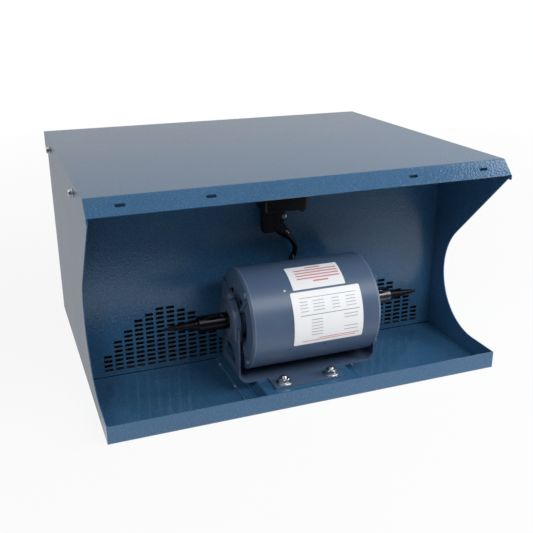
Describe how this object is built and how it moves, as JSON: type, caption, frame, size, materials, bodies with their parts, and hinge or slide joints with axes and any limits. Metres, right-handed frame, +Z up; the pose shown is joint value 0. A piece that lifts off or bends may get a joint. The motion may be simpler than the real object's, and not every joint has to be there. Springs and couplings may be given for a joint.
{
  "type": "double spindle polishing machine",
  "caption": "Open-fronted sheet steel polishing cabinet with a motor that drives a tapered spindle at each end, a switch, vented inner wall and dust compartment.",
  "frame": {"origin": "middle of the cabinet's footprint, on the surface it stands on", "axes": "+X along the motor shaft to the right seen from the front, +Y to the back, +Z up"},
  "size_m": [0.6256, 0.52, 0.333],
  "materials": {
    "cabinet_paint": "blue hammered enamel",
    "motor_paint": "satin grey-blue enamel",
    "zinc": "bright zinc plate",
    "black_steel": "black oxide, oiled",
    "bright_steel": "ground steel",
    "rubber": "matt moulded rubber",
    "black_plastic": "black moulded plastic",
    "cable_jacket": "black cable jacket",
    "plate_white": "white printed film",
    "core_steel": "laminated electrical steel",
    "copper": "varnished copper wire",
    "bronze": "sintered bronze",
    "cast_aluminium": "as cast",
    "filter_media": "dark grey fibre pad"
  },
  "bodies": {
    "cabinet": {"base_pan": "cabinet_paint", "left_side_panel": "cabinet_paint", "right_side_panel": "cabinet_paint", "vent_wall": "cabinet_paint", "rear_panel": "cabinet_paint", "top_cover": "cabinet_paint", "motor_rail": "cabinet_paint", "motor_cradle": "motor_paint", "left_resilient_ring": "rubber", "right_resilient_ring": "rubber", "left_ring_strap": "motor_paint", "right_ring_strap": "motor_paint", "strap_screws": "motor_paint", "motor_shell": "motor_paint", "left_end_bell": "motor_paint", "right_end_bell": "motor_paint", "through_bolts": "motor_paint", "stator_core": "core_steel", "stator_windings": "copper", "left_bush": "bronze", "right_bush": "bronze", "rating_plate": "plate_white", "notice_plate": "plate_white", "switch_box": "black_plastic", "switch_junction": "black_plastic", "switch_screw": "zinc", "switch_gland": "black_plastic", "motor_gland": "black_plastic", "motor_cable": "cable_jacket", "mains_gland": "black_plastic", "left_dust_filter": "filter_media", "right_dust_filter": "filter_media", "lower_filter_rail": "cabinet_paint", "upper_filter_rail": "cabinet_paint", "exhaust_frame": "cast_aluminium", "exhaust_guard": "zinc", "exhaust_screws": "zinc", "rear_panel_screws": "zinc", "cover_screw_1": "zinc", "mount_bolt_1": "zinc", "mount_nut_1": "zinc", "cover_screw_2": "zinc", "mount_bolt_2": "zinc", "mount_nut_2": "zinc", "cover_screw_3": "zinc", "mount_bolt_3": "zinc", "mount_nut_3": "zinc", "cover_screw_4": "zinc", "mount_bolt_4": "zinc", "mount_nut_4": "zinc"},
    "rotor": {"rotor_core": "core_steel", "motor_shaft": "bright_steel", "cooling_fan": "cast_aluminium", "left_spindle": "black_steel", "right_spindle": "black_steel", "spindle_set_screws": "black_steel"},
    "exhaust_fan": {"exhaust_rotor": "black_plastic"},
    "rocker": {"switch_rocker": "black_plastic"}
  },
  "joints": [
    {"name": "spindle_spin", "type": "hinge", "parent": "cabinet", "child": "rotor", "pos_m": [0.0115, -0.162, 0.1089], "axis": [1, 0, 0], "continuous": true},
    {"name": "exhaust_spin", "type": "hinge", "parent": "cabinet", "child": "exhaust_fan", "pos_m": [0, 0.22, 0.165], "axis": [0, 1, 0], "continuous": true},
    {"name": "rocker_tilt", "type": "hinge", "parent": "cabinet", "child": "rocker", "pos_m": [0.022, -0.108, 0.2875], "axis": [1, 0, 0], "range_deg": [0, 20]}
  ]
}
